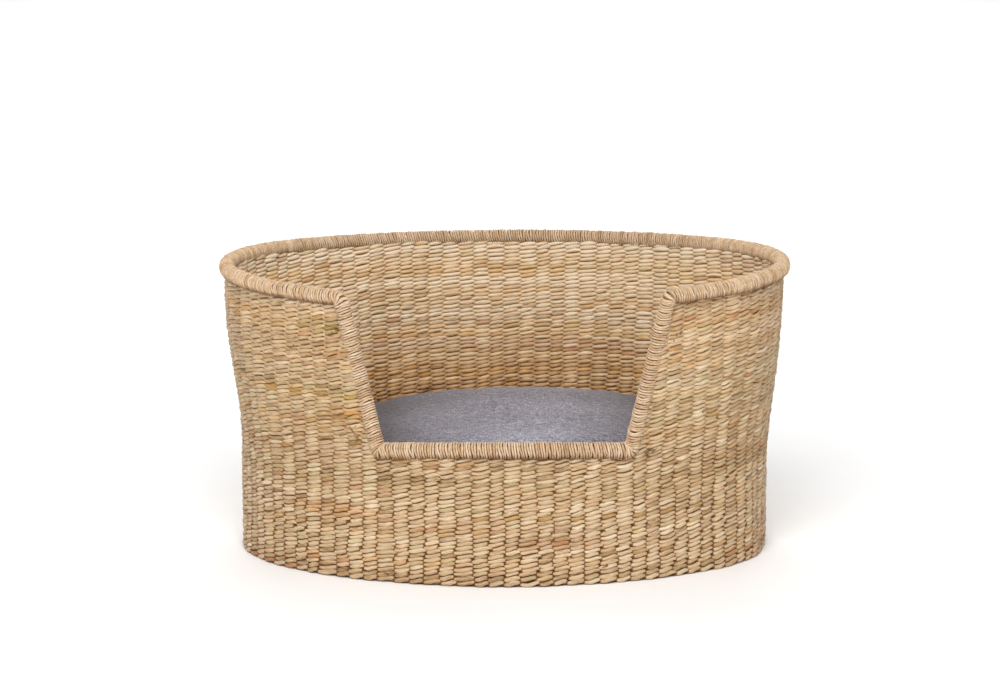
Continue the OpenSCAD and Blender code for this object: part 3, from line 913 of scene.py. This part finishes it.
def inflate(piece):
    """Swells the cushion with a short cloth simulation, and returns where its points end."""
    cloth = piece.modifiers.new("cloth", "CLOTH")
    cloth.settings.quality = 4
    cloth.settings.mass = 0.3
    cloth.settings.tension_stiffness = 20
    cloth.settings.bending_stiffness = 1.5
    cloth.settings.use_pressure = True
    cloth.settings.uniform_pressure_force = 4
    cloth.settings.effector_weights.gravity = 0
    cloth.point_cache.frame_start = 1
    cloth.point_cache.frame_end = CLOTH_STEPS
    for step in range(1, CLOTH_STEPS + 1):
        bpy.context.scene.frame_set(step)
    apply_modifiers(piece)
    bpy.context.scene.frame_set(1)
    return points_of(piece)


def build_cushion(material):
    piece = cushion_form()
    remesh = piece.modifiers.new("remesh", "REMESH")
    remesh.mode = "VOXEL"
    remesh.voxel_size = VOXEL
    apply_modifiers(piece)
    start = points_of(piece)
    moved = inflate(piece)
    push = moved - start
    top = np.clip((start[:, 2] - upper_seam) / (cushion_top - upper_seam), 0, 1)
    cap = (0.0003 + 0.0012 * np.clip((start[:, 2] - lower_seam) / 0.02, 0, 1) + 0.004 * top)[:, None]
    far = np.linalg.norm(push, axis=1, keepdims=True)
    moved = start + push * np.minimum(1, cap / np.maximum(far, 1e-9))
    moved[:, 2] += crown(start) * top
    moved[:, 2] = np.maximum(moved[:, 2], cushion_bottom)
    piece.data.vertices.foreach_set("co", moved.astype(np.float32).ravel())
    piece.data.update()
    piece.data.polygons.foreach_set("use_smooth", np.ones(len(piece.data.polygons), dtype=bool))
    smoother = piece.modifiers.new("smooth", "SMOOTH")
    smoother.iterations = 6
    smoother.factor = 0.5
    detail = piece.modifiers.new("detail", "SUBSURF")
    detail.levels = 1
    apply_modifiers(piece)
    dress_piece(piece, "cushion", material)
    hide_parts("cushion_filling", "cover_top", "cover_band", "cover_bottom")
    return BVHTree.FromPolygons(points_of(piece).tolist(), [face.vertices for face in piece.data.polygons])


def build_seam(skin, name, z, material):
    """A fine corded seam where two panels of the cover meet, laid on the cushion's skin."""
    stake = np.linspace(0, STAKES, 540, endpoint=False)
    place, away = oval(stake, np.full(len(stake), CUSHION_OFFSET))
    ripple = 0.0002 * np.sin(stake * 9)
    line = np.column_stack([place, np.full(len(stake), z) + ripple])
    line = np.array([skin.find_nearest(point)[0] for point in line.tolist()])
    line[:, :2] += SEAM_OUT * away
    seam = Tubes(6)
    seam.add(line, level_rows(away), upright(len(stake)), SEAM_RADIUS, SEAM_RADIUS, True)
    piece = make_mesh(name, np.concatenate(seam.points), np.concatenate(seam.faces))
    dress_piece(piece, "cushion", material)


# ---------------------------------------------------------------- build

add_camera()
add_studio()

straw = seagrass("seagrass", STRAW, (224, 228, 202), (250, 216, 156))
cord = cord_fibre("binding_cord", CORD_TONES)
# The cushion's cloth has painted shade toward its two ends; the zip tape has none.
cloth = linen("grey_linen", (84, 82, 90), (184, 181, 194), end_shade_strength=0.9)
tape = linen("zip_tape", (70, 70, 74), (120, 119, 124), 1.6)
rod_cane = cane("cane")
steel = worn_metal("hoop_steel", (52, 48, 44), (88, 82, 76), 0.55)
zip_metal = worn_metal("zip_metal", (120, 120, 124), (176, 176, 180), 0.3)
zip_nylon = moulded_plastic("zip_nylon", (96, 96, 100), (128, 128, 132))

build_wall(straw)
build_foot(straw)
build_floor("floor_rows_under", "floor_weave_under", straw, 31)
build_floor("floor_rows_upper", "floor_weave_upper", straw, 32)

rim = RimPath()
build_binding(rim, cord)
build_core(rim, "stake_bundle", "rim_bundle", BUNDLE_RADIUS, straw, "cane_stakes", 0.06)
build_core(rim, "steel_rod", "rim_hoop", ROD_RADIUS, steel, "hoop_steel", 0.0)
build_loose_ends(rim, straw)

skin = build_cushion(cloth)
build_seam(skin, "cushion_seam_upper", upper_seam, cloth)
build_seam(skin, "cushion_seam_lower", lower_seam, cloth)

CARRIED = {
    rod_cane: ["front_stakes", "left_stakes", "right_stakes", "back_stakes", "floor_long_rods",
               "floor_cross_rods"],
    steel: ["foot_hoop"],
    tape: ["zip_tape_upper", "zip_tape_lower"],
    zip_nylon: ["zip_coil", "zip_stops"],
    zip_metal: ["zip_slider", "zip_pull"],
}
for material, nodes in CARRIED.items():
    for node in nodes:
        for material_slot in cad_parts[node].material_slots:
            material_slot.material = material
